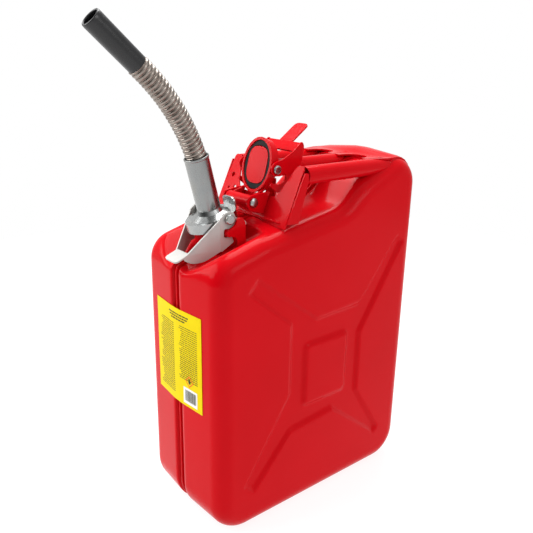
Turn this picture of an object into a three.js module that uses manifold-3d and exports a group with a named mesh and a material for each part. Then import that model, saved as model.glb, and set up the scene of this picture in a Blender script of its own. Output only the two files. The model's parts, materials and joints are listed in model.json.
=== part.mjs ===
// Pressed-steel fuel can with a clamped, flexible pouring spout and a lever-locked cap.
// Millimetres, +Z up. The spout points towards -X, the broad faces look along -Y and +Y.
// The origin is the middle of the whole object's footprint, on the floor.
import * as THREE from 'three';
import { mergeVertices } from 'three/addons/utils/BufferGeometryUtils.js';
import Module from 'manifold-3d';

const wasm = await Module();
wasm.setup();

// Driving dimensions of the tank
const LENGTH = 345;
const WIDTH = 165;
const SHEET = 1;
const DRAFT = 5;
const EDGE_ROUND = 22;
const GAP = 0.3;
const SEAM_HALF = 5;
const SEAM_DEPTH = 7;
const FLANGE_INSET = 1.5;

// The mouth: where the neck's axis meets the sloping shoulder, and how far it leans forward
const MOUTH = { x: -116, z: 385.5 };
const LEAN = THREE.MathUtils.degToRad(15);
const LIP = 13;

// Pins that the levers and the cap turn on
const CAP_PIN = { x: -76, z: 417 };
const CAP_FACE = { x: -52, z: 458 };
const CAP_FACE_ANGLE = THREE.MathUtils.degToRad(-76.4);
const CAP_LEVER_PIN = { x: -46, z: 455 };
const SPOUT_PIN = { x: -117.5, z: 404 };
const TRUNNION = { x: -119, z: 387.5 };

// The hose: equal links that bend by the same step each
const LINKS = 8;
const LINK_LENGTH = 15.25;
const FIRST_BEND = THREE.MathUtils.degToRad(7);
const LINK_BEND = THREE.MathUtils.degToRad(3.7);
const TUBE_TOP = 92;
const HOSE_RADIUS = 12.5;
const NOZZLE_LENGTH = 66;

const PAINT = { color: 0xd8100f, roughness: 0.25, metalness: 0.1 };
const ZINC = { color: 0xc3c5c4, roughness: 0.35, metalness: 0.9 };
const STEEL = { color: 0xb5aea4, roughness: 0.3, metalness: 1 };
const BLACK = { color: 0x161616, roughness: 0.5, metalness: 0 };
const YELLOW = { color: 0xffe900, roughness: 0.5, metalness: 0 };

const object = new THREE.Group();

function solid(geometry) {
  const bare = geometry.clone();
  bare.deleteAttribute('normal');
  bare.deleteAttribute('uv');
  const merged = mergeVertices(bare, 1e-4);
  return new wasm.Manifold(new wasm.Mesh({
    numProp: 3,
    vertProperties: new Float32Array(merged.attributes.position.array),
    triVerts: new Uint32Array(merged.index.array),
  }));
}

function geometryOf(body) {
  const mesh = body.getMesh();
  const geometry = new THREE.BufferGeometry();
  geometry.setAttribute('position', new THREE.BufferAttribute(mesh.vertProperties, 3));
  geometry.setIndex(new THREE.BufferAttribute(mesh.triVerts, 1));
  geometry.computeVertexNormals();
  return geometry;
}

function add(name, shape, finish, parent = object) {
  const geometry = shape instanceof THREE.BufferGeometry ? shape : geometryOf(shape);
  const mesh = new THREE.Mesh(geometry, new THREE.MeshStandardMaterial(finish));
  mesh.name = name;
  parent.add(mesh);
  return mesh;
}

// A group whose own X/Z axes are turned about Y, so that local +Z leans towards -X by the angle
function frameAt(place, angle, parent = object) {
  const group = new THREE.Group();
  group.position.set(place.x, 0, place.z);
  group.rotation.y = -angle;
  parent.add(group);
  return group;
}

function mirrorY(geometry) {
  const copy = geometry.index ? geometry.toNonIndexed() : geometry.clone();
  copy.scale(1, -1, 1);
  const position = copy.attributes.position;
  for (let i = 0; i < position.count; i += 3) {
    const first = new THREE.Vector3().fromBufferAttribute(position, i);
    const second = new THREE.Vector3().fromBufferAttribute(position, i + 1);
    position.setXYZ(i, second.x, second.y, second.z);
    position.setXYZ(i + 1, first.x, first.y, first.z);
  }
  copy.computeVertexNormals();
  return copy;
}

// An outline of the X/Z plane, pushed along Y from one place to another
function plate(shape, fromY, toY, curveSegments = 6) {
  const options = { depth: toY - fromY, bevelEnabled: false, curveSegments };
  const geometry = new THREE.ExtrudeGeometry(shape, options);
  geometry.rotateX(Math.PI / 2);
  geometry.translate(0, toY, 0);
  return geometry;
}

// A polygon whose corners are rounded by the length given with each point, as far as its sides allow
function rounded(corners) {
  const shape = new THREE.Shape();
  corners.forEach(([x, z, length = 0], i) => {
    const here = new THREE.Vector2(x, z);
    const before = new THREE.Vector2(...corners.at(i - 1).slice(0, 2)).sub(here);
    const after = new THREE.Vector2(...corners[(i + 1) % corners.length].slice(0, 2)).sub(here);
    const cut = Math.min(length, before.length() * 0.45, after.length() * 0.45);
    before.setLength(cut).add(here);
    after.setLength(cut).add(here);
    if (i === 0) shape.moveTo(before.x, before.y);
    else shape.lineTo(before.x, before.y);
    if (cut > 0) shape.quadraticCurveTo(x, z, after.x, after.y);
  });
  return shape;
}

function ellipse(alongX, alongY) {
  return new THREE.Shape().absellipse(0, 0, alongX, alongY, 0, Math.PI * 2);
}

function ovalRing(outerX, outerY, innerX, innerY, from, to, segments = 16) {
  const shape = ellipse(outerX, outerY);
  shape.holes.push(new THREE.Path().absellipse(0, 0, innerX, innerY, 0, Math.PI * 2));
  const options = { depth: to - from, bevelEnabled: false, curveSegments: segments };
  return new THREE.ExtrudeGeometry(shape, options).translate(0, 0, from);
}

// A closed profile of radius and height pairs, turned about the local Z axis
function turned(profile, segments = 24) {
  const points = profile.map(([radius, height]) => new THREE.Vector2(radius, height));
  const [radius, height] = profile[0];
  if (radius > 0) points.push(new THREE.Vector2(radius, height));
  return new THREE.LatheGeometry(points, segments).rotateX(Math.PI / 2);
}

// A round bar or rivet along Y, with heads of its own radius and thickness at both ends
function pinAlongY(radius, half, headRadius, headThickness, segments = 14) {
  const shank = half - headThickness;
  const profile = [
    [0, -half], [headRadius * 0.7, -half], [headRadius, -half + headThickness * 0.4],
    [headRadius, -shank], [radius, -shank], [radius, shank], [headRadius, shank],
    [headRadius, half - headThickness * 0.4], [headRadius * 0.7, half], [0, half],
  ];
  return turned(profile, segments).rotateX(Math.PI / 2);
}

// ---- Tank ----

// The side outline at the seam, anticlockwise, each corner with its radius and arc steps
const TANK_CORNERS = [
  { x: -LENGTH / 2, z: 0, radius: 50, steps: 6 },
  { x: LENGTH / 2, z: 0, radius: 50, steps: 6 },
  { x: LENGTH / 2, z: 490, radius: 42, steps: 8 },
  { x: 58, z: 438, radius: 30, steps: 2 },
  { x: 28, z: 413, radius: 40, steps: 3 },
  { x: -100, z: 389.5, radius: 60, steps: 2 },
  { x: -LENGTH / 2, z: 368.5, radius: 40, steps: 5 },
];

// The same outline pushed inwards, with the same number of points for every inset
function tankOutline(inset) {
  const corners = TANK_CORNERS.map(({ x, z }) => new THREE.Vector2(x, z));
  const count = corners.length;
  const heading = corners.map((p, i) => corners[(i + 1) % count].clone().sub(p).normalize());
  const points = [];
  TANK_CORNERS.forEach(({ radius, steps }, i) => {
    const into = heading[(i + count - 1) % count];
    const out = heading[i];
    const turn = Math.asin(THREE.MathUtils.clamp(into.cross(out), -1, 1));
    const obtuse = into.dot(out) < 0 ? Math.sign(turn) * Math.PI - turn : turn;
    const arc = obtuse > 0 ? radius - inset : radius + inset;
    const inward = new THREE.Vector2(-into.y - out.y, into.x + out.x).normalize();
    const corner = corners[i].clone().addScaledVector(inward, inset / Math.cos(obtuse / 2));
    const start = corner.clone().addScaledVector(into, -arc * Math.tan(Math.abs(obtuse) / 2));
    const side = Math.sign(obtuse);
    const centre = start.clone().add(new THREE.Vector2(-into.y, into.x).multiplyScalar(arc * side));
    for (let k = 0; k <= steps; k += 1) {
      points.push(start.clone().rotateAround(centre, (obtuse * k) / steps));
    }
  });
  return points;
}

// The draft narrows the sides and the top but leaves the bottom level, so that the tank stands flat
const LEVELLED_BELOW = 235;
function levelled(point, draft) {
  if (point.y < LEVELLED_BELOW) {
    point.setY(((point.y - draft) * LEVELLED_BELOW) / (LEVELLED_BELOW - draft));
  }
  return point;
}

// A solid that goes through one outline after another, from low Y to high Y
function loft(levels) {
  const rings = levels.map(({ inset, draft = 0 }) => tankOutline(inset).map((p) => levelled(p, draft)));
  const count = rings[0].length;
  const positions = [];
  rings.forEach((ring, i) => ring.forEach((p) => positions.push(p.x, levels[i].y, p.y)));
  const index = [];
  for (let i = 0; i + 1 < rings.length; i += 1) {
    for (let k = 0; k < count; k += 1) {
      const next = (k + 1) % count;
      const a = i * count + k;
      const b = i * count + next;
      index.push(a, b + count, b, a, a + count, b + count);
    }
  }
  const last = (rings.length - 1) * count;
  THREE.ShapeUtils.triangulateShape(rings[0], []).forEach(([a, b, c]) => index.push(a, b, c));
  THREE.ShapeUtils.triangulateShape(rings[rings.length - 1], [])
    .forEach(([a, b, c]) => index.push(last + a, last + c, last + b));
  const geometry = new THREE.BufferGeometry();
  geometry.setAttribute('position', new THREE.Float32BufferAttribute(positions, 3));
  geometry.setIndex(index);
  return geometry;
}

// Rounding from the drafted wall into the broad face; skin is the depth below the outer surface
function edgeLevels(skin) {
  const steps = 4;
  const levels = [];
  for (let k = 0; k <= steps; k += 1) {
    const angle = (k / steps) * Math.PI * 0.5;
    const reach = EDGE_ROUND - skin;
    levels.push({
      y: WIDTH / 2 - EDGE_ROUND + reach * Math.sin(angle),
      inset: DRAFT + EDGE_ROUND - reach * Math.cos(angle),
      draft: DRAFT,
    });
  }
  return levels;
}

// The groove pressed into each broad face: four tapering arms and a frame round a square pad
const GROOVE_DEPTH = 4;
const GROOVE_FLOOR = WIDTH / 2 - GROOVE_DEPTH;
const GROOVE_STAR = [
  [-12, 268], [-110, 340], [-122, 326], [-56, 271], [-56, 174], [-126, 66], [-113, 55],
  [-54, 120], [22, 127], [112, 55], [118, 62], [67, 140], [67, 230], [142, 346],
  [131, 354], [64, 272],
];

// An anticlockwise polygon with each side moved outwards by the same distance
function pushedOut(corners, distance) {
  const points = corners.map(([x, z]) => new THREE.Vector2(x, z));
  return points.map((p, i) => {
    const into = p.clone().sub(points.at(i - 1)).normalize();
    const out = points[(i + 1) % points.length].clone().sub(p).normalize();
    const outward = new THREE.Vector2(into.y + out.y, -into.x - out.x);
    return p.clone().addScaledVector(outward, distance / (1 + into.dot(out)));
  });
}

function pressedGroove(skin) {
  const star = new THREE.Shape(pushedOut(GROOVE_STAR, skin));
  const [left, right, low, high] = [-31 + skin, 44 - skin, 149 + skin, 236 - skin];
  const pad = rounded([[left, low, 12], [right, low, 12], [right, high, 12], [left, high, 12]]);
  const floor = GROOVE_FLOOR - skin;
  const ridge = solid(plate(pad, floor - 1, WIDTH / 2 - skin - 1, 2));
  return solid(plate(star, floor, WIDTH / 2 + 2)).subtract(ridge);
}

// The shoulder under the mouth sinks in a shallow valley between the ridges at its two sides
const VALLEY = { slope: Math.atan2(21, 72.5), reach: 92, half: 60, knee: 37, floorHalf: 22, depth: 25 };
function shoulderValley(skin) {
  const { slope, reach, half, knee, floorHalf, depth } = VALLEY;
  const section = new THREE.Shape([
    [-half - skin, 0], [-knee, -depth * 0.7 - skin], [-floorHalf, -depth - skin],
    [floorHalf, -depth - skin], [knee, -depth * 0.7 - skin], [half + skin, 0], [half, 40], [-half, 40],
  ].map(([y, z]) => new THREE.Vector2(y, z)));
  const options = { depth: reach + 40 + skin, bevelEnabled: false };
  const prism = new THREE.ExtrudeGeometry(section, options).translate(0, 0, -40);
  prism.rotateX(Math.PI / 2).rotateZ(Math.PI / 2).rotateY(-slope);
  return solid(prism.translate(-LENGTH / 2, 0, 368.5));
}

// One half of the tank, pressed as a tray with a welding flange down in the seam channel
function halfTank() {
  const outer = solid(loft([
    { y: GAP / 2, inset: FLANGE_INSET },
    { y: GAP / 2 + SHEET, inset: FLANGE_INSET },
    { y: GAP / 2 + SHEET, inset: SEAM_DEPTH },
    { y: SEAM_HALF, inset: SEAM_DEPTH },
    { y: SEAM_HALF + 4, inset: 0 },
    ...edgeLevels(0),
  ].map((level, i) => (i === 2 ? { ...level, y: level.y + 0.02 } : level))));
  const inner = solid(loft([
    { y: -1, inset: SEAM_DEPTH + SHEET },
    { y: SEAM_HALF - 0.4, inset: SEAM_DEPTH + SHEET },
    { y: SEAM_HALF + 4.6, inset: SHEET },
    ...edgeLevels(SHEET),
  ]));
  const outside = outer.subtract(pressedGroove(0)).subtract(shoulderValley(0));
  const inside = inner.subtract(pressedGroove(SHEET)).subtract(shoulderValley(SHEET));
  return outside.subtract(inside);
}

function inNeckFrame(geometry) {
  return geometry.rotateY(-LEAN).translate(MOUTH.x, 0, MOUTH.z);
}

const NECK = { outerX: 26, outerY: 21.5, innerX: 22.5, innerY: 18, root: -34 };

function addTank() {
  const reach = [NECK.outerX + GAP, NECK.outerY + GAP];
  const hole = solid(inNeckFrame(new THREE.ExtrudeGeometry(ellipse(...reach), {
    depth: 60, bevelEnabled: false, curveSegments: 10,
  }).translate(0, 0, NECK.root - 2)));
  const far = halfTank().subtract(hole);
  add('shell_far', far, PAINT);
  add('shell_near', solid(mirrorY(geometryOf(far))), PAINT);
}

function addNeck() {
  const neck = frameAt(MOUTH, LEAN);
  const { outerX, outerY, innerX, innerY, root } = NECK;
  const wall = solid(ovalRing(outerX, outerY, innerX, innerY, root, LIP, 10));
  const bead = solid(ovalRing(outerX + 2, outerY + 2, innerX, innerY, LIP - 4, LIP - 1, 10));
  add('neck', wall.add(bead), PAINT, neck);
}

// A folded bracket on each side of the neck: its pin is what the lever's hooks grip
function addNeckLugs(tank) {
  const cheek = rounded([
    [-109, 340], [-97, 340], [-97, 398, 5], [-101, 405, 4], [-108, 405, 4], [-112, 396, 3],
    [-122.5, 391, 3], [-123, 385, 3], [-112, 383, 2], [-109, 378, 2],
  ]);
  const cheekY = 36;
  const pin = turned([[0, 0], [4.4, 0], [4.4, 13], [0, 13]], 12).rotateX(-Math.PI / 2);
  pin.translate(TRUNNION.x, cheekY - 12.5, TRUNNION.z);
  const lug = solid(plate(cheek, cheekY, cheekY + 3)).add(solid(pin));
  const clear = lug.subtract(tank);
  add('neck_lug_far', clear, PAINT);
  add('neck_lug_near', solid(mirrorY(geometryOf(clear))), PAINT);
}

// A vent pipe inside the tank, from behind the mouth to the high corner at the back
function addBreather() {
  const path = new THREE.CatmullRomCurve3([
    new THREE.Vector3(-78, 12, 355), new THREE.Vector3(-40, 12, 376),
    new THREE.Vector3(30, 12, 388), new THREE.Vector3(75, 12, 420),
    new THREE.Vector3(125, 12, 446),
  ]);
  const ring = new THREE.Shape().absarc(0, 0, 5, 0, Math.PI * 2);
  ring.holes.push(new THREE.Path().absarc(0, 0, 4, 0, Math.PI * 2));
  const options = { steps: 14, extrudePath: path, curveSegments: 3 };
  add('breather_tube', new THREE.ExtrudeGeometry(ring, options), ZINC);
}

// The label wraps the shallow V of the front wall and bridges the seam
function addLabel() {
  const half = 50;
  const thick = 0.5;
  const draft = DRAFT / (WIDTH / 2 - EDGE_ROUND - SEAM_HALF - 4);
  const flat = SEAM_HALF + 4;
  const wall = (y) => -LENGTH / 2 + Math.max(0, Math.abs(y) - flat) * draft - GAP;
  const front = [-half, -flat, flat, half].map((y) => new THREE.Vector2(wall(y) - thick, y));
  const back = [half, flat, -flat, -half].map((y) => new THREE.Vector2(wall(y), y));
  const options = { depth: 126, bevelEnabled: false };
  const sheet = new THREE.ExtrudeGeometry(new THREE.Shape([...front, ...back]), options);
  add('label', sheet.translate(0, 0, 170), YELLOW);
}

// ---- Handles and front bracket ----

const HANDLE_SPACING = 63;
const HANDLE_RADIUS = 11;
const HANDLE_Z = 451;
const HANDLE_FRONT = -28.5;
const HANDLE_BACK = 112;
const BRACKET_FOOT = { x: -62, z: 399 };
const BRACKET_LEAN = THREE.MathUtils.degToRad(25);

// The whole tank as one plain block, grown by a clearance, for cutting what rests on it
function tankEnvelope(grow) {
  const half = loft([
    { y: 0, inset: -grow },
    { y: SEAM_HALF + 4, inset: -grow },
    ...edgeLevels(-grow),
  ]);
  return solid(half).add(solid(mirrorY(half))).subtract(shoulderValley(-grow));
}

function tubeAlongX(radius, from, to, y) {
  const tube = new THREE.CylinderGeometry(radius, radius, to - from, 20);
  return solid(tube.rotateZ(Math.PI / 2).translate((from + to) / 2, y, HANDLE_Z));
}

function addHandles(tank) {
  ['handle_near', 'handle_middle', 'handle_far'].forEach((name, i) => {
    const y = (i - 1) * HANDLE_SPACING;
    const outer = tubeAlongX(HANDLE_RADIUS, HANDLE_FRONT, HANDLE_BACK, y);
    const bore = tubeAlongX(HANDLE_RADIUS - 1.5, HANDLE_FRONT - 1, HANDLE_BACK + 1, y);
    add(name, outer.subtract(bore).subtract(tank), PAINT);
  });
}

// The stay holds up the front end of the middle tube
function addHandleStay(tank) {
  const top = HANDLE_Z - HANDLE_RADIUS - GAP;
  const foot = rounded([
    [-36, 396], [-22, 396], [-22, 412, 2], [-26, 415, 2], [-26, top], [-28.2, top],
    [-30, 414, 3],
  ]);
  add('handle_stay', solid(plate(foot, -9, 9)).subtract(tank), PAINT);
}

// The web joins the rear parts of the tubes level with their tops: two arches for the fingers,
// then a skin wrapped over the high back of the tank
function addHandleWeb(tank) {
  const front = 82;
  const arch = front + 22;
  const top = HANDLE_Z + HANDLE_RADIUS;
  const outline = new THREE.Shape();
  outline.moveTo(front, -HANDLE_SPACING);
  outline.lineTo(HANDLE_BACK, -72);
  outline.lineTo(168, -66);
  outline.lineTo(168, -6);
  outline.quadraticCurveTo(160, 0, 168, 6);
  outline.lineTo(168, 66);
  outline.lineTo(HANDLE_BACK, 72);
  outline.lineTo(front, HANDLE_SPACING);
  [1, -1].forEach((side) => {
    const centre = (side * HANDLE_SPACING) / 2;
    outline.lineTo(front, centre + 20);
    outline.quadraticCurveTo(arch, centre + 19, arch, centre);
    outline.quadraticCurveTo(arch, centre - 19, front, centre - 20);
  });
  const options = { depth: 60, bevelEnabled: false, curveSegments: 5 };
  const column = solid(new THREE.ExtrudeGeometry(outline, options).translate(0, 0, 442));
  const level = rounded([[front, top - 2.2], [135, top - 2.2], [135, top], [front, top]]);
  let skin = tankEnvelope(2.2).add(solid(plate(level, -73, 73)));
  [-HANDLE_SPACING, 0, HANDLE_SPACING].forEach((y) => {
    skin = skin.subtract(tubeAlongX(HANDLE_RADIUS + GAP, HANDLE_FRONT, HANDLE_BACK + GAP, y));
  });
  add('handle_web', column.intersect(skin).subtract(tank), PAINT);
}

// The wide plate between the tank and the tubes: it carries the ears of the cap's hinge pin
function addBracket(tank) {
  const halfWidth = 72;
  const height = 70;
  const outline = rounded([
    [-halfWidth, -8], [halfWidth, -8], [halfWidth - 4, height, 10], [56, height, 8],
    [38, 26, 10], [-38, 26, 10], [-56, height, 8], [-halfWidth + 4, height, 10],
  ]);
  [[47, 26, 3], [59, 24, 1.8], [59, 42, 3.4]].forEach(([y, z, r]) => {
    outline.holes.push(new THREE.Path().absarc(y, z, r, 0, Math.PI * 2));
  });
  const options = { depth: 2, bevelEnabled: false, curveSegments: 6 };
  const sheet = new THREE.ExtrudeGeometry(outline, options).rotateX(Math.PI / 2).rotateZ(Math.PI / 2);
  let body = solid(sheet.rotateY(BRACKET_LEAN).translate(BRACKET_FOOT.x, 0, BRACKET_FOOT.z));
  const ear = rounded([
    [-60, 402], [-50, 428], [-68, 427, 6], [-85, 425, 8], [-85, 410, 8], [-72, 405, 6],
  ]);
  [-26, 23.5].forEach((y) => { body = body.add(solid(plate(ear, y, y + 2.5))); });
  const side = rounded([[-61.9, 397], [-44, 396], [-29.5, 446, 3], [-29.5, 455, 4], [-35.6, 455]]);
  [-73, 71].forEach((y) => { body = body.add(solid(plate(side, y, y + 2))); });
  const bore = new THREE.CylinderGeometry(4.3, 4.3, 80, 14).translate(CAP_PIN.x, 0, CAP_PIN.z);
  body = body.subtract(solid(bore)).subtract(tank);
  add('cap_bracket', body, PAINT);
}

// ---- Cap: a cup with a gasket, carried by arms on the hinge pin, and its locking lever ----

const CUP = { alongX: 33, alongY: 27, depth: 12 };
const LEVER_INNER = 31;
const LEVER_OUTER = 33;
const RIVET_BORE = 2.8;

// An outline given in the tank's X and Z, drawn relative to a pin
function around(pin, outline) {
  return rounded(outline.map(([x, z, length]) => [x - pin.x, z - pin.z, length]));
}

// A thumb tab with rounded corners, from a root on the middle plane along X, tilted about Y
function thumbTab(root, length, width, corner, tilt) {
  const [first, second] = length > 0 ? [0, length] : [length, 0];
  const cornerAt = (x) => (x === length ? corner : 0);
  const plan = rounded([
    [first, -width / 2, cornerAt(first)], [second, -width / 2, cornerAt(second)],
    [second, width / 2, cornerAt(second)], [first, width / 2, cornerAt(first)],
  ]);
  const tab = new THREE.ExtrudeGeometry(plan, { depth: 2, bevelEnabled: false, curveSegments: 5 });
  return solid(tab.rotateY(tilt).translate(root.x, 0, root.z));
}

function bothSides(geometry) {
  return solid(geometry).add(solid(mirrorY(geometry)));
}

function barAlongY(radius, from, to, place = { x: 0, z: 0 }, segments = 14) {
  const bar = new THREE.CylinderGeometry(radius, radius, to - from, segments);
  return bar.translate(place.x, (from + to) / 2, place.z);
}

// A straight-sided oval block between two heights
function longDome(halfX, halfY, from, to) {
  const corner = halfY;
  const shape = rounded([
    [-halfX, -halfY, corner], [halfX, -halfY, corner], [halfX, halfY, corner], [-halfX, halfY, corner],
  ]);
  const options = { depth: to - from, bevelEnabled: false, curveSegments: 6 };
  return new THREE.ExtrudeGeometry(shape, options).translate(0, 0, from);
}

// The cup opens along local +Z; its long axis is local X
function cupShape() {
  const { alongX, alongY, depth } = CUP;
  const wall = solid(ovalRing(alongX, alongY, alongX - 2, alongY - 2, -depth, 0, 12));
  const bead = solid(ovalRing(alongX + 1.5, alongY + 1.5, alongX - 2, alongY - 2, -2.5, 0, 12));
  const floor = solid(ovalRing(alongX - 0.5, alongY - 0.5, 5, 5, -depth - 1, -depth + 1, 12));
  const dome = longDome(23, 18.5, -depth - 1, -1);
  const hollow = longDome(21, 16.5, -depth - 2, -2.5);
  return wall.add(bead).add(floor).add(solid(dome)).subtract(solid(hollow));
}

function addCap() {
  const cap = frameAt(CAP_PIN, 0);
  const face = { x: CAP_FACE.x - CAP_PIN.x, z: CAP_FACE.z - CAP_PIN.z };
  const toCap = (geometry) => geometry.rotateY(CAP_FACE_ANGLE).translate(face.x, 0, face.z);
  const lever = { x: CAP_LEVER_PIN.x - CAP_PIN.x, z: CAP_LEVER_PIN.z - CAP_PIN.z };
  const arm = around(CAP_PIN, [
    [-83, 417, 5], [-79, 410, 5], [-70, 411, 6], [-52, 432, 8], [-41, 446, 6], [-38, 460, 6],
    [-47, 463, 4], [-54, 430, 6], [-70, 425, 7], [-81, 423, 5],
  ]);
  const room = new THREE.ExtrudeGeometry(ellipse(CUP.alongX - 1, CUP.alongY - 1), {
    depth: CUP.depth + 4, bevelEnabled: false, curveSegments: 12,
  }).translate(0, 0, -CUP.depth - 0.5);
  const arms = bothSides(plate(arm, 17.5, 20)).subtract(solid(toCap(room)));
  let body = solid(toCap(geometryOf(cupShape()))).add(arms);
  body = body.add(solid(barAlongY(8, -22.5, 22.5)));
  body = body.add(bothSides(barAlongY(6, CUP.alongY - 1.5, LEVER_INNER - GAP, lever)));
  body = body.subtract(solid(barAlongY(4.3, -30, 30)));
  body = body.subtract(bothSides(barAlongY(RIVET_BORE, CUP.alongY - 0.5, 40, lever)));
  add('cap_cup', body, PAINT, cap);
  const disc = new THREE.ExtrudeGeometry(ellipse(CUP.alongX - 2.3, CUP.alongY - 2.3), {
    depth: 7.8, bevelEnabled: false, curveSegments: 12,
  }).translate(0, 0, -9);
  const gasket = solid(disc).subtract(solid(longDome(23.4, 18.9, -10, 0)));
  add('cap_gasket', toCap(geometryOf(gasket)), BLACK, cap);
  addRivets('cap_rivet', CAP_LEVER_PIN, 5.6, 3);
}

// Two headed rivets along Y, from a boss at the side of a cup out through a lever's cheek
function addRivets(name, place, headRadius, headThickness) {
  const outer = LEVER_OUTER + GAP;
  const tip = outer + headThickness;
  const shank = RIVET_BORE - GAP;
  const profile = [
    [0, 27.5], [shank, 27.5], [shank, outer], [headRadius, outer],
    [headRadius, tip - 1], [headRadius - 1, tip], [0, tip],
  ];
  const far = turned(profile, 14).rotateX(-Math.PI / 2);
  [['near', mirrorY(far)], ['far', far]].forEach(([side, geometry]) => {
    const rivet = add(`${name}_${side}`, geometry, ZINC);
    rivet.position.set(place.x, 0, place.z);
  });
}

function addCapLever() {
  const group = frameAt(CAP_LEVER_PIN, 0);
  const cheek = around(CAP_LEVER_PIN, [
    [-56, 436, 2], [-44, 426, 5], [-30, 427, 6], [-14, 441, 8], [-6, 462, 8], [-2.5, 481, 3],
    [-6, 487, 3], [-22, 474, 10], [-38, 466, 6], [-47, 465, 5], [-55, 459, 6], [-53, 449, 5],
    [-42, 446.5, 3], [-31, 449, 2], [-31, 441, 5], [-40, 436, 4], [-54, 440, 2],
  ]);
  const web = around(CAP_LEVER_PIN, [[-17, 475.5], [-15.5, 473.5], [-4, 482.5], [-7, 485]]);
  const root = { x: -6.5 - CAP_LEVER_PIN.x, z: 481 - CAP_LEVER_PIN.z };
  const tab = thumbTab(root, 38, 24, 7, THREE.MathUtils.degToRad(-36));
  let body = bothSides(plate(cheek, LEVER_INNER, LEVER_OUTER));
  body = body.add(solid(plate(web, -LEVER_INNER - 1, LEVER_INNER + 1)));
  body = body.add(tab);
  body = body.subtract(solid(barAlongY(RIVET_BORE, -40, 40)));
  add('cap_lever', body, PAINT, group);
}

// ---- Pouring spout ----

function addSpoutBase() {
  const neck = frameAt(MOUTH, LEAN);
  const { alongX, alongY } = CUP;
  const skirt = solid(ovalRing(alongX, alongY, alongX - 2, alongY - 2, LIP - 6, 18, 12));
  const top = solid(ovalRing(alongX, alongY, 13.2, 13.2, 16.5, 18.5, 12));
  const cone = turned([[13.2, 17.5], [25, 17.5], [25, 18.6], [16.4, 23], [14.8, 28], [13.2, 28]], 24);
  const toNeck = (x, z) => {
    const step = new THREE.Vector2(x - MOUTH.x, z - MOUTH.z).rotateAround(new THREE.Vector2(), -LEAN);
    return { x: step.x, z: step.y };
  };
  const pin = toNeck(SPOUT_PIN.x, SPOUT_PIN.z);
  const tongue = rounded([[-12, 16.8], [12, 16.8], [12, 31, 10], [-12, 31, 10]]);
  const lobe = new THREE.ExtrudeGeometry(tongue, { depth: 2, bevelEnabled: false, curveSegments: 6 });
  lobe.rotateX(Math.PI / 2).rotateZ(Math.PI / 2).translate(29, 0, 0);
  let body = skirt.add(top).add(solid(cone)).add(solid(lobe));
  body = body.add(bothSides(barAlongY(6, alongY - 1.5, LEVER_INNER - GAP, pin)));
  body = body.subtract(bothSides(barAlongY(RIVET_BORE, alongY - 0.5, 40, pin)));
  add('spout_base', body, ZINC, neck);
  add('spout_seal', ovalRing(alongX - 2.4, alongY - 2.4, 20, 16, LIP + GAP, 16.2, 12), BLACK, neck);
  add('spout_tube', turned([
    [13.2, 28.3], [14.4, 28.3], [14.4, TUBE_TOP - 3], [15, TUBE_TOP - 2], [15, TUBE_TOP - 0.6],
    [14.4, TUBE_TOP], [13.2, TUBE_TOP],
  ], 28), ZINC, neck);
  const vent = turned([[2.3, -33], [3, -33], [3, 78], [2.3, 78]], 10);
  add('spout_vent_tube', vent.translate(-9.8, 0, 0), ZINC, neck);
  addRivets('spout_rivet', SPOUT_PIN, 6.2, 5);
}

// The cheeks run straight at the back and close in towards the tab at the front
function addSpoutLever() {
  const group = frameAt(SPOUT_PIN, 0);
  const foldX = -129;
  const closing = 19 / 32;
  const back = around(SPOUT_PIN, [
    [foldX - 0.5, 366.3], [-127, 366, 2], [-109.6, 375.5, 2], [-113, 382.2, 1], [-118.5, 382.3],
    [-124.3, 382.3, 4], [-124.3, 392.7, 4], [-118, 392.4], [-112, 393.6], [-108, 396.9],
    [-105.5, 398.5], [-99, 393.5, 2], [-95, 389.5, 1], [-91, 396, 3], [-95, 400.5, 3],
    [-108, 405, 3], [-110, 411, 6], [-120, 413, 6], [foldX - 0.5, 405.3],
  ]);
  const front = around(SPOUT_PIN, [
    [foldX, 366.5], [foldX, 405], [-163.5, 362, 2], [-166, 356, 3], [-157, 351.5, 5],
    [-145, 354.5, 4],
  ].reverse());
  const folded = plate(front, LEVER_INNER, LEVER_OUTER);
  const position = folded.attributes.position;
  for (let i = 0; i < position.count; i += 1) {
    const pastFold = position.getX(i) + SPOUT_PIN.x - foldX;
    position.setY(i, position.getY(i) + pastFold * closing);
  }
  const root = { x: -159.3 - SPOUT_PIN.x, z: 362.3 - SPOUT_PIN.z };
  const tab = thumbTab(root, -20, 27, 6, THREE.MathUtils.degToRad(-22));
  let body = bothSides(plate(back, LEVER_INNER, LEVER_OUTER)).add(bothSides(folded));
  body = body.add(tab);
  body = body.subtract(solid(barAlongY(RIVET_BORE, -40, 40)));
  add('spout_lever', body, ZINC, group);
}

// ---- Flexible hose: nested groups, each turned a little further than the one before ----

function linkProfile(isLast) {
  const [start, end] = [0.9, LINK_LENGTH - 0.9];
  const pitch = (end - start) / 3;
  const valley = HOSE_RADIUS - 0.9;
  const bore = valley - 1.1;
  const sleeve = { outer: bore - 0.6, inner: bore - 1.3, from: 11.5, to: LINK_LENGTH + 2.4 };
  const outside = [[bore, start], [valley, start]];
  for (let k = 0; k < 3; k += 1) {
    const from = start + k * pitch;
    outside.push([HOSE_RADIUS, from + pitch * 0.5], [valley, from + pitch]);
  }
  const tip = isLast
    ? [[sleeve.inner, end]]
    : [[sleeve.outer, end], [sleeve.outer, sleeve.to], [sleeve.inner, sleeve.to]];
  return [...outside, ...tip, [sleeve.inner, sleeve.from], [bore, sleeve.from]];
}

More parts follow.
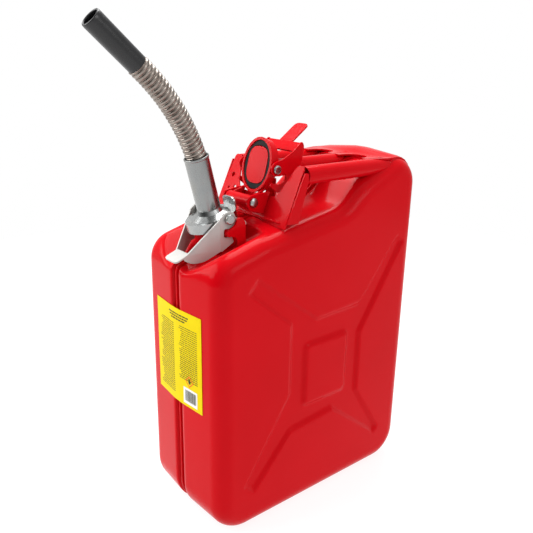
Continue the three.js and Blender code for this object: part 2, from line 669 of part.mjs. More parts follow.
function addHose() {
  const neck = frameAt(MOUTH, LEAN);
  let parent = neck;
  for (let i = 1; i <= LINKS; i += 1) {
    const link = new THREE.Group();
    link.position.z = i === 1 ? TUBE_TOP : LINK_LENGTH;
    link.rotation.y = i === 1 ? -FIRST_BEND : -LINK_BEND;
    parent.add(link);
    add(`hose_${i}`, turned(linkProfile(i === LINKS), 16), STEEL, link);
    parent = link;
  }
  addNozzle(parent);
}

function addNozzle(link) {
  const start = LINK_LENGTH - 0.5;
  const end = start + NOZZLE_LENGTH;
  add('nozzle', turned([
    [9, start], [11, start], [11.6, start + 0.8], [11.6, end - 2.5], [11, end - 0.6],
    [10.3, end], [9.4, end - 0.5], [9, end - 1.5],
  ], 24), BLACK, link);
}

function addCapPin() {
  const pin = add('cap_hinge_pin', pinAlongY(4, 29.3, 6, 3), ZINC);
  pin.position.set(CAP_PIN.x, 0, CAP_PIN.z);
}

// The origin moves to the middle of the footprint once everything is in place
function centreOnFootprint() {
  object.updateMatrixWorld(true);
  const box = new THREE.Box3().setFromObject(object, true);
  object.position.x = -(box.min.x + box.max.x) / 2;
}

addTank();
addNeck();
addBreather();
addLabel();
const tankEdge = tankEnvelope(GAP);
addNeckLugs(tankEdge);
addHandles(tankEdge);
addHandleStay(tankEdge);
addHandleWeb(tankEdge);
addBracket(tankEdge);
addCapPin();
addCap();
addCapLever();
addSpoutBase();
addSpoutLever();
addHose();
centreOnFootprint();

export default object;
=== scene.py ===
# Looks of a pressed-steel fuel can with a clamped flexible spout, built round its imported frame.
# Metres. A length written as 5 * MM is five millimetres.
import json
import math

import bmesh
import bpy
import numpy as np
from mathutils import Matrix, Vector, noise


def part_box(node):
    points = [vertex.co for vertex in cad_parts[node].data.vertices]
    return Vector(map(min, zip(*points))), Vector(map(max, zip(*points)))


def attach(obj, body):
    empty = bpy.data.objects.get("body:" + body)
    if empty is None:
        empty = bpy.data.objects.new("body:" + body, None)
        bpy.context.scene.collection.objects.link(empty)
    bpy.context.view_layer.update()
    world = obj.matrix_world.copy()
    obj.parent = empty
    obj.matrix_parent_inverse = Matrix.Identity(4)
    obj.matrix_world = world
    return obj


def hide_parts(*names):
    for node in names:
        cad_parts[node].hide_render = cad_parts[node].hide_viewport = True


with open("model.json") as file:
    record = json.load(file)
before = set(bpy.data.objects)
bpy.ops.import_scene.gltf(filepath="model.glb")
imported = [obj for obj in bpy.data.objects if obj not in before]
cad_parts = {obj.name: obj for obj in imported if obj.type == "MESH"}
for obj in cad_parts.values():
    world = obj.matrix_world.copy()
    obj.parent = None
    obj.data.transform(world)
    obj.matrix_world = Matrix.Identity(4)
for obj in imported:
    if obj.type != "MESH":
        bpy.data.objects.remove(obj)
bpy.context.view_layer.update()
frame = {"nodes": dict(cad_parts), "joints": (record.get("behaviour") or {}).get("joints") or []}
MM = 0.001

# The tank's own X runs from the middle of the shells
shell_low, shell_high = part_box("shell_far")
TANK_X = (shell_low.x + shell_high.x) / 2
HALF_WIDTH = shell_high.y


def joint_place(name):
    """Where a joint turns, in the frame's own axes."""
    return Vector(next(j for j in frame["joints"] if j["name"] == name)["pos_m"])


# ---- Materials ----

def shader(name, colour, roughness, metallic=0.0, **sockets):
    """A new node material; returns it with its node tree and principled shader."""
    material = bpy.data.materials.new(name)
    material.use_nodes = True
    tree = material.node_tree
    principled = tree.nodes["Principled BSDF"]
    principled.inputs["Base Color"].default_value = (*colour, 1)
    principled.inputs["Roughness"].default_value = roughness
    principled.inputs["Metallic"].default_value = metallic
    for socket, value in sockets.items():
        principled.inputs[socket.replace("_", " ")].default_value = value
    return material, tree, principled


def noise_of(tree, scale, detail=4, stretch=(1, 1, 1)):
    """Noise in the object's own space, stretched along chosen axes."""
    place = tree.nodes.new("ShaderNodeTexCoord")
    mapping = tree.nodes.new("ShaderNodeMapping")
    mapping.inputs["Scale"].default_value = stretch
    texture = tree.nodes.new("ShaderNodeTexNoise")
    texture.inputs["Scale"].default_value = scale
    texture.inputs["Detail"].default_value = detail
    tree.links.new(place.outputs["Object"], mapping.inputs["Vector"])
    tree.links.new(mapping.outputs["Vector"], texture.inputs["Vector"])
    return texture.outputs["Fac"]


def spread(tree, value, low, high, from_low=0.3, from_high=0.7):
    """A value mapped to a range."""
    node = tree.nodes.new("ShaderNodeMapRange")
    node.inputs["From Min"].default_value = from_low
    node.inputs["From Max"].default_value = from_high
    node.inputs["To Min"].default_value = low
    node.inputs["To Max"].default_value = high
    tree.links.new(value, node.inputs["Value"])
    return node.outputs["Result"]


def colours(tree, value, stops):
    """A colour ramp over a value; stops are position and colour pairs."""
    ramp = tree.nodes.new("ShaderNodeValToRGB")
    elements = ramp.color_ramp.elements
    while len(elements) < len(stops):
        elements.new(0.5)
    for element, (position, colour) in zip(elements, stops):
        element.position = position
        element.color = (*colour, 1)
    tree.links.new(value, ramp.inputs["Fac"])
    return ramp.outputs["Color"]


def bump(tree, principled, height, strength, distance):
    """A bump that feeds the shader's normal."""
    node = tree.nodes.new("ShaderNodeBump")
    node.inputs["Strength"].default_value = strength
    node.inputs["Distance"].default_value = distance
    tree.links.new(height, node.inputs["Height"])
    tree.links.new(node.outputs["Normal"], principled.inputs["Normal"])


def red_paint():
    """Gloss stoving enamel with faint orange peel and a little unevenness in its gloss."""
    material, tree, principled = shader(
        "red_paint", (0.57, 0.002, 0.006), 0.16, Specular_IOR_Level=0.06)
    tone = noise_of(tree, 7, 3)
    paint = colours(tree, tone, [(0.3, (0.55, 0.0018, 0.0055)), (0.7, (0.59, 0.0024, 0.007))])
    tree.links.new(paint, principled.inputs["Base Color"])
    tree.links.new(spread(tree, noise_of(tree, 25, 5), 0.13, 0.19), principled.inputs["Roughness"])
    bump(tree, principled, noise_of(tree, 300, 1), 0.015, 0.3 * MM)
    return material


def zinc(name, tone_scale, grain, lift):
    """Bright zinc: cloudy tone with a hint of yellow passivation, and a grain that sets the gloss."""
    material, tree, principled = shader(name, (0.6, 0.61, 0.6), 0.24, 1.0)
    cloud = noise_of(tree, 22, 3)
    tones = [(0.60, 0.63, 0.64), (0.68, 0.69, 0.68), (0.70, 0.68, 0.62)]
    stops = [(place, tuple(c * tone_scale for c in tone)) for place, tone in zip((0.3, 0.55, 0.8), tones)]
    tree.links.new(colours(tree, cloud, stops), principled.inputs["Base Color"])
    tree.links.new(spread(tree, grain(tree), 0.18, 0.32), principled.inputs["Roughness"])
    bump(tree, principled, grain(tree), lift, 0.05 * MM)
    return material


def drawn_lines(tree):
    """Fine lines along a drawn tube."""
    return noise_of(tree, 260, 3, (1, 1, 0.04))


def pressed_grain(tree):
    """Soft unevenness of a pressed part."""
    return noise_of(tree, 60, 2)


def satin_zinc():
    """The duller zinc of the spout's lever, with a cloudy tone and a fine grain."""
    material, tree, principled = shader("satin_zinc", (0.50, 0.49, 0.47), 0.5, 0.3)
    cloud = noise_of(tree, 40, 4)
    tint = colours(tree, cloud, [(0.3, (0.47, 0.46, 0.44)), (0.7, (0.54, 0.53, 0.51))])
    tree.links.new(tint, principled.inputs["Base Color"])
    grain = noise_of(tree, 900, 3)
    tree.links.new(spread(tree, grain, 0.45, 0.6), principled.inputs["Roughness"])
    bump(tree, principled, grain, 0.1, 0.1 * MM)
    return material


def hose_steel():
    """Warm stainless strip with streaks of darker tone and uneven gloss."""
    material, tree, principled = shader("hose_steel", (0.38, 0.33, 0.29), 0.32, 1.0)
    streak = noise_of(tree, 90, 4)
    tint = colours(tree, streak, [(0.25, (0.20, 0.165, 0.14)), (0.5, (0.29, 0.25, 0.22)),
                                  (0.8, (0.40, 0.36, 0.32))])
    tree.links.new(tint, principled.inputs["Base Color"])
    tree.links.new(spread(tree, noise_of(tree, 300, 4), 0.24, 0.42), principled.inputs["Roughness"])
    bump(tree, principled, noise_of(tree, 250, 3), 0.05, 0.1 * MM)
    return material


def black_rubber():
    """Matte black rubber with a fine grain and faint dust."""
    material, tree, principled = shader("black_rubber", (0.006, 0.006, 0.006), 0.5, Specular_IOR_Level=0.12)
    dust = noise_of(tree, 150, 6)
    tint = colours(tree, dust, [(0.4, (0.004, 0.004, 0.004)), (0.8, (0.012, 0.011, 0.010))])
    tree.links.new(tint, principled.inputs["Base Color"])
    bump(tree, principled, noise_of(tree, 1200, 2), 0.2, 0.1 * MM)
    return material


def black_plastic():
    """Satin black sleeve with light handling marks."""
    material, tree, principled = shader("black_plastic", (0.006, 0.006, 0.007), 0.3)
    marks = noise_of(tree, 200, 5)
    tree.links.new(spread(tree, marks, 0.22, 0.38), principled.inputs["Roughness"])
    bump(tree, principled, marks, 0.06, 0.1 * MM)
    return material


def label_film(name, colour):
    """Printed film: an even ink with slight tone changes and a soft sheen."""
    material, tree, principled = shader(name, colour, 0.38, Specular_IOR_Level=0.05)
    tone = noise_of(tree, 70, 3)
    darker = tuple(c * 0.94 for c in colour)
    tree.links.new(colours(tree, tone, [(0.3, darker), (0.7, colour)]), principled.inputs["Base Color"])
    return material


PAINT = red_paint()
ZINC = zinc("drawn_zinc", 0.4, drawn_lines, 0.04)
PRESSED = zinc("pressed_zinc", 0.55, pressed_grain, 0.02)
SATIN = satin_zinc()
STEEL = hose_steel()
RUBBER = black_rubber()
PLASTIC = black_plastic()
YELLOW = label_film("yellow_film", (0.82, 0.63, 0.0))
INK = label_film("dark_ink", (0.05, 0.045, 0.02))
WHITE = label_film("white_film", (0.85, 0.85, 0.85))
ORANGE = label_film("orange_ink", (0.85, 0.12, 0.02))


# ---- Mesh helpers ----

def piece(name, vertices, faces, material, body, node=None, smooth=True):
    """A mesh object that rides on a body and may stand for a CAD node."""
    mesh = bpy.data.meshes.new(name)
    mesh.from_pydata([tuple(v) for v in vertices], [], faces)
    mesh.validate()
    mesh.materials.append(material)
    mesh.shade_smooth() if smooth else mesh.shade_flat()
    thing = bpy.data.objects.new(name, mesh)
    bpy.context.scene.collection.objects.link(thing)
    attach(thing, body)
    if node:
        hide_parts(node)
    return thing


def ring_faces(rings, around, closed=False):
    """Quads between consecutive rings that each have the same number of points."""
    faces = []
    for i in range(rings - 1 + closed):
        here = i * around
        there = ((i + 1) % rings) * around
        for k in range(around):
            after = (k + 1) % around
            faces.append((here + k, here + after, there + after, there + k))
    return faces


def turned_ring(place, radius, height, around):
    """Points of one circle about the Z axis of a placing matrix."""
    angles = (2 * math.pi * k / around for k in range(around))
    return [place @ Vector((radius * math.cos(a), radius * math.sin(a), height)) for a in angles]


def lathe(name, profile, place, material, body, node):
    """A closed profile of radius and height turned about the Z axis of a placing matrix."""
    around = 64
    vertices = []
    for radius, height in profile:
        vertices += turned_ring(place, radius, height, around)
    piece(name, vertices, ring_faces(len(profile), around, closed=True), material, body, node)


def rounded_profile(points, radius, steps):
    """A closed profile with each corner rounded by an arc-like curve."""
    out = []
    count = len(points)
    for i, point in enumerate(points):
        here = Vector(point)
        before = Vector(points[i - 1]) - here
        after = Vector(points[(i + 1) % count]) - here
        cut = min(radius, before.length * 0.45, after.length * 0.45)
        start = here + before.normalized() * cut
        end = here + after.normalized() * cut
        for k in range(steps + 1):
            t = k / steps
            out.append(start * (1 - t) ** 2 + here * (2 * t * (1 - t)) + end * t ** 2)
    return [(p.x, p.y) for p in out]


def in_metres(profile):
    return [(radius * MM, height * MM) for radius, height in profile]


SAME_POINT = 0.002 * MM
FLAT_ANGLE = math.radians(1)
SHARP_ANGLE = math.radians(38)


def refined(node, material, body, width):
    """A copy of a CAD node with merged faces and rounded edges, which stands for it."""
    work = bmesh.new()
    work.from_mesh(frame["nodes"][node].data)
    bmesh.ops.remove_doubles(work, verts=work.verts, dist=SAME_POINT)
    bmesh.ops.dissolve_limit(work, angle_limit=FLAT_ANGLE, verts=work.verts, edges=work.edges)
    mesh = bpy.data.meshes.new(node + "_detail")
    work.to_mesh(mesh)
    work.free()
    if "custom_normal" in mesh.attributes:
        mesh.attributes.remove(mesh.attributes["custom_normal"])
    mesh.materials.clear()
    mesh.materials.append(material)
    mesh.shade_smooth()
    thing = bpy.data.objects.new(mesh.name, mesh)
    bpy.context.scene.collection.objects.link(thing)
    edges = thing.modifiers.new("rounded_edges", "BEVEL")
    edges.width = width
    edges.segments = 2
    edges.limit_method = "ANGLE"
    edges.angle_limit = SHARP_ANGLE
    edges.harden_normals = True
    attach(thing, body)
    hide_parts(node)


# ---- Tank shells ----

# Rounding between a broad face and the walls, the walls' lean, and the level band by the seam
EDGE_ROUND = 22 * MM
DRAFT = 5 * MM
FLAT_HALF = 9 * MM
WALL_SLOPE = DRAFT / (HALF_WIDTH - EDGE_ROUND - FLAT_HALF)

# Below this height the outline is stretched, so the bottom stays level
LEVEL_TOP = 235 * MM

# Side outline of the tank in millimetres: X, Z and radius of each corner, and its arc steps
FRONT_X = -172.5
FRONT_TOP = 368.5
CORNERS = [
    (FRONT_X, 0, 50, 14), (172.5, 0, 50, 14), (172.5, 490, 42, 14), (58, 438, 30, 6),
    (28, 413, 40, 8), (-100, 389.5, 60, 6), (FRONT_X, FRONT_TOP, 40, 12),
]
SPACING = 3 * MM
RING_POINTS = 520


def tank_outline(inset, draft):
    """The side outline pushed inwards; every inset gives the same number of points."""
    corners = [Vector((x * MM, z * MM)) for x, z, _, _ in CORNERS]
    count = len(corners)
    heading = [(corners[(i + 1) % count] - corners[i]).normalized() for i in range(count)]
    arcs = []
    for i, (_, _, radius, steps) in enumerate(CORNERS):
        into, out = heading[i - 1], heading[i]
        turn = math.atan2(into.x * out.y - into.y * out.x, into.dot(out))
        arc = radius * MM - inset if turn > 0 else radius * MM + inset
        inward = Vector((-into.y - out.y, into.x + out.x)).normalized()
        corner = corners[i] + inward * (inset / math.cos(turn / 2))
        start = corner - into * (arc * math.tan(abs(turn) / 2))
        side = 1 if turn > 0 else -1
        centre = start + Vector((-into.y, into.x)) * (arc * side)
        spoke = start - centre
        arcs.append([centre + Matrix.Rotation(turn * k / steps, 2) @ spoke for k in range(steps + 1)])
    points = []
    for i, arc in enumerate(arcs):
        following = arcs[(i + 1) % count][0]
        points.extend(arc)
        pieces_between = max(1, round((corners[(i + 1) % count] - corners[i]).length / SPACING))
        points.extend(arc[-1].lerp(following, k / pieces_between) for k in range(1, pieces_between))
    ring = np.array([(p.x, p.y) for p in points])
    low = ring[:, 1] < LEVEL_TOP
    ring[low, 1] = (ring[low, 1] - draft) * LEVEL_TOP / (LEVEL_TOP - draft)
    return ring


def shell_levels():
    """Y, inset and draft of each ring, from the seam out to the broad face."""
    seam = [(0.15, 1.6), (1.2, 1.5), (1.35, 2.4), (1.5, 5.6), (2.2, 6.8), (4.2, 7.0), (5.2, 6.5),
            (6.1, 5.0), (7.1, 2.6), (8.0, 1.0), (9.0, 0.2)]
    levels = [(y * MM, inset * MM, 0.0) for y, inset in seam]
    edge_from = HALF_WIDTH - EDGE_ROUND
    wall_steps = 13
    for k in range(1, wall_steps + 1):
        share = k / wall_steps
        y = FLAT_HALF + (edge_from - FLAT_HALF) * share
        levels.append((y, DRAFT * share, DRAFT * share))
    arc_steps = 10
    for k in range(1, arc_steps + 1):
        angle = math.pi / 2 * k / arc_steps
        inset = DRAFT + EDGE_ROUND * (1 - math.cos(angle))
        levels.append((edge_from + EDGE_ROUND * math.sin(angle), inset, DRAFT))
    return levels


def smoothstep(value):
    value = np.clip(value, 0, 1)
    return value * value * (3 - 2 * value)


def distance_to(polygon, x, z):
    """Signed distance from points to a polygon, negative inside it."""
    nearest = np.full(x.shape, 1e9)
    inside = np.zeros(x.shape, bool)
    for (ax, az), (bx, bz) in zip(polygon, polygon[1:] + polygon[:1]):
        dx, dz = bx - ax, bz - az
        along = np.clip(((x - ax) * dx + (z - az) * dz) / (dx * dx + dz * dz), 0, 1)
        nearest = np.minimum(nearest, np.hypot(x - ax - along * dx, z - az - along * dz))
        crosses = (az > z) != (bz > z)
        inside ^= crosses & (x < dx * (z - az) / (dz if dz else 1e-12) + ax)
    return np.where(inside, -nearest, nearest)


# The pressed star and the raised pad in its middle, X and Z in millimetres
STAR = [
    (-12, 268), (-110, 340), (-122, 326), (-56, 271), (-56, 174), (-126, 66), (-113, 55),
    (-54, 120), (22, 127), (112, 55), (118, 62), (67, 140), (67, 230), (142, 346),
    (131, 354), (64, 272),
]
PAD = [(-31, 149), (44, 149), (44, 236), (-31, 236)]
PAD_MIDDLE_Z = 200
PAD_CORNER = 7.0
PRESS_DEPTH = 4.4 * MM
PRESS_SOFT = 4.0


def pressed_depth(x, z):
    """Depth of the pressing in the broad face: a star of grooves round a raised square pad."""
    star = distance_to(STAR, x / MM, z / MM)
    core = [(px - math.copysign(PAD_CORNER, px), pz - math.copysign(PAD_CORNER, pz - PAD_MIDDLE_Z))
            for px, pz in PAD]
    rounded_pad = distance_to(core, x / MM, z / MM) - PAD_CORNER
    pad = np.maximum(distance_to(PAD, x / MM, z / MM), rounded_pad)
    groove = np.maximum(star, -pad)
    return PRESS_DEPTH * smoothstep(0.5 - groove / (2 * PRESS_SOFT))


# The sunk shoulder: its slope, its length from the front, and its depth across in millimetres
VALLEY_SLOPE = 21 / 72.5
VALLEY_REACH = 88 * MM
VALLEY_ACROSS = [0, 22, 37, 66]
VALLEY_DEPTHS = [25, 25, 17.5, 0]
SEAM_CHANNEL = 0.7


def valley_floor(x, y, channel):
    """Height of the sunk shoulder under the mouth; above the tank where there is no valley."""
    along = x - FRONT_X * MM
    side = np.abs(y) / MM
    depth = np.mean([np.interp(np.abs(side + shift), VALLEY_ACROSS, VALLEY_DEPTHS)
                     for shift in range(-8, 9, 2)], axis=0)
    ridge = 4.5 * smoothstep((12 - side) / 4) * smoothstep((70 - along / MM) / 30)
    clear = 20 * smoothstep((side - 54) / 16) + 60 * smoothstep((along - VALLEY_REACH) / (9 * MM))
    return FRONT_TOP * MM + along * VALLEY_SLOPE + (ridge + clear - depth) * MM - channel


def sink_shoulder(x, y, z, channel):
    """The lower of the tank's surface and the valley, blended over a few millimetres."""
    blend = 3.0 * MM
    floor = valley_floor(x, y, channel)
    low = np.minimum(z, floor)
    return low - blend * np.log(np.exp(-(z - low) / blend) + np.exp(-(floor - low) / blend))


NECK_LEAN = math.radians(15)
NECK_AXIS = Vector((math.sin(-NECK_LEAN), 0, math.cos(NECK_LEAN)))
NECK_HOLE = (27.2 * MM, 22.6 * MM)
NECK_REACH = 60 * MM
SHOULDER_BOTTOM = 330 * MM
MOUTH = Vector((TANK_X - 116 * MM, 0, 385.5 * MM))


def in_neck(point):
    """True for points of the shoulder inside the hole that the neck is welded into."""
    offset = point - MOUTH
    height = offset.dot(NECK_AXIS)
    side = offset.x * NECK_AXIS.z - offset.z * NECK_AXIS.x
    oval = (side / NECK_HOLE[0]) ** 2 + (offset.y / NECK_HOLE[1]) ** 2
    return point.z > SHOULDER_BOTTOM and abs(height) < NECK_REACH and oval < 1


def evenly_spaced(ring, count):
    """A closed ring with its points moved to equal distances along it."""
    loop = np.vstack([ring, ring[:1]])
    reached = np.concatenate([[0], np.cumsum(np.linalg.norm(np.diff(loop, axis=0), axis=1))])
    places = np.linspace(0, reached[-1], count, endpoint=False)
    return np.stack([np.interp(places, reached, loop[:, axis]) for axis in range(3)], axis=1)


def ring_on_tank(y, inset, draft, channel):
    """The outline at one Y, sunk into the valley, as evenly spaced points."""
    ring = tank_outline(inset, draft)
    across = np.full(len(ring), y)
    z = sink_shoulder(ring[:, 0], across, ring[:, 1], channel)
    sunk = np.stack([ring[:, 0], across, z], axis=1)
    return evenly_spaced(sunk, RING_POINTS)


def pressed_face(rim):
    """Rings that fill the broad face from its rim towards the middle, with the star pressed in."""
    centre = np.array([5 * MM, rim[0, 1], 205 * MM])
    steps = 76
    rings = []
    for k in range(1, steps):
        ring = centre + (rim - centre) * (1 - k / steps)
        ring[:, 1] -= pressed_depth(ring[:, 0], ring[:, 2])
        rings.append(ring)
    return rings


def shell(name, node, side):
    """One pressed half of the tank, with the hole for the neck cut out."""
    rings = []
    for y, inset, draft in shell_levels():
        channel = inset * SEAM_CHANNEL if y < FLAT_HALF else 0
        rings.append(ring_on_tank(y, inset, draft, channel))
    rings += pressed_face(rings[-1])
    points = np.concatenate(rings)
    points[:, 0] += TANK_X
    points[:, 1] *= side
    faces = ring_faces(len(rings), RING_POINTS)
    last = (len(rings) - 1) * RING_POINTS
    faces.append(tuple(range(last, last + RING_POINTS)))
    if side > 0:
        faces = [tuple(reversed(f)) for f in faces]
    thing = piece(name, points, faces, PAINT, "can", node)
    work = bmesh.new()
    work.from_mesh(thing.data)
    holed = [f for f in work.faces if in_neck(f.calc_center_median())]
    bmesh.ops.delete(work, geom=holed, context="FACES")
    work.to_mesh(thing.data)
    work.free()


# ---- Welds ----

def weld(name, path, arms, radii, around):
    """A painted weld bead along a path; arms are its two cross directions at each point."""
    vertices = []
    for here, (first, second), radius in zip(path, arms, radii):
        for k in range(around):
            angle = 2 * math.pi * k / around
            vertices.append(here + (first * math.cos(angle) + second * math.sin(angle)) * radius)
    faces = ring_faces(len(path), around)
    last = (len(path) - 1) * around
    faces += [tuple(reversed(range(around))), tuple(range(last, last + around))]
    piece(name, vertices, faces, PAINT, "can", None)


def seam_weld():
    """Weld run that closes the gap between the two flanges all round the tank."""
    inset = 2.1 * MM
    ring = ring_on_tank(0, inset, 0, inset * SEAM_CHANNEL)
    path = [Vector((x + TANK_X, y, z)) for x, y, z in ring]
    covered = [i for i, point in enumerate(path) if in_neck(point)]
    path = path[covered[-1] + 1:] + path[:covered[0]]
    across = Vector((0, 1, 0))
    arms = []
    for i in range(len(path)):
        along = (path[min(i + 1, len(path) - 1)] - path[max(i - 1, 0)]).normalized()
        arms.append((along.cross(across), across))
    weld("seam_weld", path, arms, [0.7 * MM] * len(path), 8)


def foot_weld():
    """Lumpy weld bead where the bracket's plate stands on the shoulder."""
    foot = Vector((TANK_X - 63.0 * MM, 0, 397.0 * MM))
    steps, half, taper_length = 150, 62 * MM, 3 * MM
    places = [-half + 2 * half * i / steps for i in range(steps + 1)]
    radii = []
    for i, y in enumerate(places):
        lumps = 0.35 * noise.noise(Vector((0, y * 260, 3))) + 0.15 * math.sin(i * 1.3)
        taper = max(0.05, min(1, (half - abs(y)) / taper_length))
        radii.append((1.7 + lumps) * MM * taper)
    arms = [(Vector((1, 0, 0)), Vector((0, 0, 1)))] * len(places)
    weld("bracket_weld", [foot + Vector((0, y, 0)) for y in places], arms, radii, 12)


# ---- Spout ----

def neck_frame():
    """Matrix of the neck: its Z axis leans forward with the mouth."""
    return Matrix.Translation(MOUTH) @ Matrix.Rotation(-NECK_LEAN, 4, "Y")


def spout_tube():
    """Rigid pipe with a small bead at its rim."""
    bottom, top = 24, 92
    bore, wall, bead = 13.2, 14.4, 15
    outline = [(bore, bottom), (wall, bottom), (wall, top - 3.2), (bead, top - 2.4), (bead, top - 0.4),
               (bead - 0.4, top), (bore, top)]
    lathe("spout_tube_skin", in_metres(rounded_profile(outline, 0.5, 3)), neck_frame(), ZINC, "can",
          "spout_tube")


def tube_rim_ring():
    """Black ring that closes the gap between the pipe's rim and the hose."""
    outline = [(10.9, 90.6), (13.9, 90.6), (13.9, 92.35), (10.9, 92.35)]
    lathe("tube_rim_ring", in_metres(rounded_profile(outline, 0.4, 3)), neck_frame(), RUBBER, "can",
          None)


LINK_LENGTH = 15.25
RIBS_PER_LINK = 3
FIRST_BEND = 7
LINK_BEND = 3.7


def hose_link(index):
    """One ribbed link; the ribs run as a helix that carries on into the next link."""
    around, steps = 64, 40
    groove_radius, rib_height, inner_radius = 10.7, 1.85, 9.4
    start = joint_place(f"hose_{index}_bend")
    lean = NECK_LEAN + math.radians(FIRST_BEND + LINK_BEND * (index - 1))
    place = Matrix.Translation(start) @ Matrix.Rotation(-lean, 4, "Y")
    vertices = []
    for i in range(steps + 1):
        height = LINK_LENGTH * i / steps
        for k in range(around):
            turn = k / around
            phase = RIBS_PER_LINK * height / LINK_LENGTH - turn
            radius = groove_radius + rib_height * abs(math.sin(math.pi * phase)) ** 0.45
            angle = 2 * math.pi * turn
            point = Vector((radius * math.cos(angle), radius * math.sin(angle), height))
            vertices.append(place @ (point * MM))
    for height in (LINK_LENGTH, 0):
        vertices += turned_ring(place, inner_radius * MM, height * MM, around)
    faces = ring_faces(steps + 3, around, closed=True)
    piece(f"hose_{index}_ribs", vertices, faces, STEEL, f"hose_{index}_link", f"hose_{index}")
    return place


def nozzle(place):
    """Black sleeve over the hose's end, open at its mouth."""
    start, end = 14.2, 80.75
    outline = [(9, start), (11.4, start), (11.6, start + 1), (11.6, end - 3), (11.2, end), (9.2, end),
               (9, end - 2)]
    lathe("nozzle_sleeve", in_metres(rounded_profile(outline, 1.1, 4)), place, PLASTIC, "hose_8_link",
          "nozzle")


# ---- Label ----

PRINT_LIFT = 0.16 * MM
BAR_LIFT = 0.26 * MM
DIAMOND_LIFT = 0.2 * MM


def label_wall(y, lift):
    """X of the label's face at one Y, lifted towards the front."""
    low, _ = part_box("label")
    return low.x + max(0, abs(y) - FLAT_HALF) * WALL_SLOPE - lift


def label_sheet(name, rectangles, lift, material):
    """Flat printed shapes that follow the front wall; each is low and high Y and Z in millimetres."""
    fold = FLAT_HALF / MM
    vertices, faces = [], []
    for y0, y1, z0, z1 in rectangles:
        cuts = sorted({y0, y1, *(c for c in (-fold, fold) if y0 < c < y1)})
        first = len(vertices)
        for y in cuts:
            for z in (z0, z1):
                vertices.append((label_wall(y * MM, lift), y * MM, z * MM))
        for k in range(len(cuts) - 1):
            a = first + 2 * k
            faces.append((a, a + 1, a + 3, a + 2))
    piece(name, vertices, faces, material, "can", None, smooth=False)


def dashes(rng, y_from, y_to, z, height):
    """A line of word-like dashes of varying length."""
    out = []
    y = y_from
    while y < y_to - 1.5:
        length = min(rng.uniform(2.0, 6.5), y_to - y)
        out.append((y, y + length, z, z + height))
        y += length + 0.8
    return out


def bars(rng, y_from, y_to, z_from, z_to):
    """Upright bars of random width and spacing."""
    out = []
    y = y_from
    while y < y_to:
        width = rng.uniform(0.4, 1.3)
        out.append((y, min(y + width, y_to + 0.2), z_from, z_to))
        y += width + rng.uniform(0.35, 0.9)
    return out


def label_print():
    """Generic print: three heading rows, two columns of dark dashes and a block of bars."""
    rng = np.random.default_rng(7)
    row_step = 2.75
    rows = []
    for z, half in ((288, 22), (284.6, 20), (281.2, 15)):
        rows += dashes(rng, -half - 4, half - 4, z, 1.7)
    for row in range(35):
        rows += dashes(rng, 5, 5 + rng.uniform(30, 38), 274 - row * row_step, 0.95)
    for row in range(26):
        height = 1.05 if row > 14 else 0.85
        rows += dashes(rng, -42, -42 + rng.uniform(30, 37), 275 - row * row_step, height)
    label_sheet("label_rows", rows, PRINT_LIFT, INK)
    label_sheet("label_block", [(-41, -14, 174, 196)], PRINT_LIFT, WHITE)
    label_sheet("label_bars", bars(rng, -38.5, -17, 178, 193), BAR_LIFT, INK)


def label_diamond():
    """A plain orange diamond outline with a dark dot."""
    centre_y, centre_z = -26 * MM, 206 * MM
    wall = label_wall(centre_y, DIAMOND_LIFT)
    vertices = []
    for half in (8.0 * MM, 6.3 * MM):
        for dy, dz in ((half, 0), (0, half), (-half, 0), (0, -half)):
            vertices.append((wall - WALL_SLOPE * dy, centre_y + dy, centre_z + dz))
    faces = [(k, (k + 1) % 4, 4 + (k + 1) % 4, 4 + k) for k in range(4)]
    piece("label_diamond", vertices, faces, ORANGE, "can", None, smooth=False)
    dot = [(wall, centre_y + 2.4 * MM * math.cos(a), centre_z + 3.2 * MM * math.sin(a))
           for a in np.linspace(0, 2 * math.pi, 16, endpoint=False)]
    piece("label_dot", dot, [tuple(range(16))], INK, "can", None, smooth=False)


# ---- Handles ----

def handle_tube(node):
    """A carry tube with rounded open ends."""
    low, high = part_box(node)
    outer = (high.y - low.y) / 2
    inner = outer - 1.5 * MM
    length = high.x - low.x + 2 * MM
    centre = Vector((low.x, (low.y + high.y) / 2, high.z - outer))
    place = Matrix.Translation(centre) @ Matrix.Rotation(math.pi / 2, 4, "Y")
    outline = [(inner, 0), (outer, 0), (outer, length), (inner, length)]
    lathe(node + "_tube", rounded_profile(outline, 0.5 * MM, 3), place, PAINT, "can", node)


# ---- Studio ----

CAN_MIDDLE = Vector((0, 0, 0.28))


def floor():
    """White ground, bright enough to vanish into the backdrop."""
    bpy.ops.mesh.primitive_plane_add(size=3, location=(0, 0, 0))
    plane = bpy.context.object
    plane.name = "studio_floor"
    material, _, principled = shader("studio_white", (0.25, 0.25, 0.25), 0.9, Specular_IOR_Level=0)
    principled.inputs["Emission Color"].default_value = (1, 1, 1, 1)
    principled.inputs["Emission Strength"].default_value = 0.85
    plane.data.materials.append(material)


def softbox(name, place, size, power):
    """A rectangular area light at a place, looking at the middle of the can."""
    light = bpy.data.lights.new(name, "AREA")
    light.shape = "RECTANGLE"
    light.size, light.size_y = size
    light.energy = power
    lamp = bpy.data.objects.new(name, light)
    lamp.location = place
    lamp.rotation_euler = (CAN_MIDDLE - Vector(place)).to_track_quat("-Z", "Y").to_euler()
    bpy.context.scene.collection.objects.link(lamp)


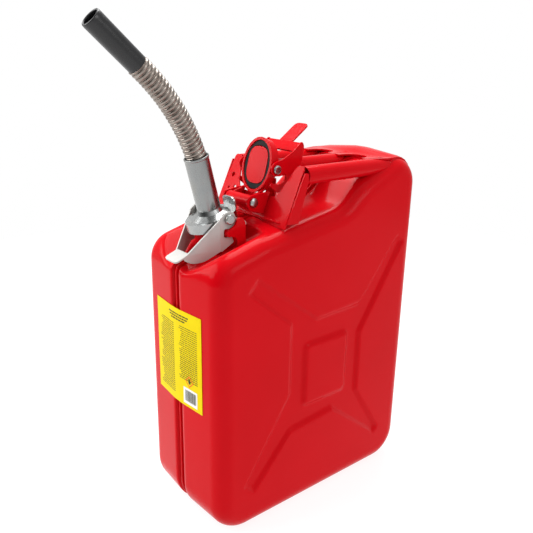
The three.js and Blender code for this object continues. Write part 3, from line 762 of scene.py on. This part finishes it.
def studio():
    """A room toned from dark to light along X for reflections, with a white backdrop and three lights."""
    world = bpy.data.worlds.new("studio")
    world.use_nodes = True
    tree = world.node_tree
    heading = tree.nodes.new("ShaderNodeSeparateXYZ")
    tree.links.new(tree.nodes.new("ShaderNodeTexCoord").outputs["Generated"], heading.inputs[0])
    greys = [(0.0, 0.06), (0.08, 0.16), (0.2, 0.5), (0.4, 1.0), (0.8, 0.9), (1.0, 0.6)]
    panels = colours(tree, spread(tree, heading.outputs["X"], 0, 1, -1, 1),
                     [(place, (grey, grey, grey)) for place, grey in greys])
    room = tree.nodes["Background"]
    tree.links.new(panels, room.inputs["Color"])
    room.inputs["Strength"].default_value = 0.9
    backdrop = tree.nodes.new("ShaderNodeBackground")
    backdrop.inputs["Color"].default_value = (1, 1, 1, 1)
    mix = tree.nodes.new("ShaderNodeMixShader")
    tree.links.new(tree.nodes.new("ShaderNodeLightPath").outputs["Is Camera Ray"], mix.inputs["Fac"])
    tree.links.new(room.outputs[0], mix.inputs[1])
    tree.links.new(backdrop.outputs[0], mix.inputs[2])
    tree.links.new(mix.outputs[0], tree.nodes["World Output"].inputs["Surface"])
    bpy.context.scene.world = world
    softbox("left_card", (-1.5, 1.0, 1.3), (1.8, 1.4), 40)
    softbox("top_box", (0.3, 0.5, 1.7), (1.2, 0.9), 24)
    softbox("near_box", (0.5, -2.1, 1.5), (1.2, 0.8), 10)
    bpy.context.scene.view_settings.view_transform = "Standard"


def camera():
    """The photograph's angle: to the front left, a little above the handles."""
    turn, rise, roll = (math.radians(a) for a in (-39.12, 18.09, 1.03))
    distance = 0.8238
    target = Vector((TANK_X - 32.6 * MM, 0, 321 * MM))
    back = Vector((math.sin(turn) * math.cos(rise), -math.cos(turn) * math.cos(rise), math.sin(rise)))
    right = Vector((math.cos(turn), math.sin(turn), 0))
    up = back.cross(right)
    side = right * math.cos(roll) + up * math.sin(roll)
    top = up * math.cos(roll) - right * math.sin(roll)
    data = bpy.data.cameras.new("camera")
    data.lens = 41.9
    data.clip_start = 0.05
    view = bpy.data.objects.new("camera", data)
    facing = Matrix((side, top, back)).transposed().to_4x4()
    view.matrix_world = Matrix.Translation(target + back * distance) @ facing
    bpy.context.scene.collection.objects.link(view)
    bpy.context.scene.camera = view


# ---- Build ----

shell("tank_far", "shell_far", 1)
shell("tank_near", "shell_near", -1)
for tube in ("handle_near", "handle_middle", "handle_far"):
    handle_tube(tube)
for node, width in (("neck", 0.8), ("neck_lug_far", 0.6), ("neck_lug_near", 0.6), ("handle_stay", 0.8),
                    ("handle_web", 0.9), ("cap_bracket", 0.6)):
    refined(node, PAINT, "can", width * MM)
refined("cap_cup", PAINT, "cap", 0.6 * MM)
refined("cap_gasket", RUBBER, "cap", 1.0 * MM)
refined("cap_lever", PAINT, "cap_lever", 0.5 * MM)
refined("spout_lever", SATIN, "spout_lever", 0.5 * MM)
for node in ("cap_hinge_pin", "spout_rivet_near", "spout_rivet_far", "spout_base"):
    refined(node, PRESSED, "can", 0.6 * MM)
for node in ("cap_rivet_near", "cap_rivet_far"):
    refined(node, PRESSED, "cap", 0.6 * MM)
for node in ("spout_vent_tube", "breather_tube"):
    refined(node, ZINC, "can", 0.15 * MM)
refined("spout_seal", RUBBER, "can", 0.8 * MM)
spout_tube()
tube_rim_ring()
for link in range(1, 9):
    last_place = hose_link(link)
nozzle(last_place)
refined("label", YELLOW, "can", 0.1 * MM)
label_print()
label_diamond()
foot_weld()
seam_weld()
floor()
studio()
camera()
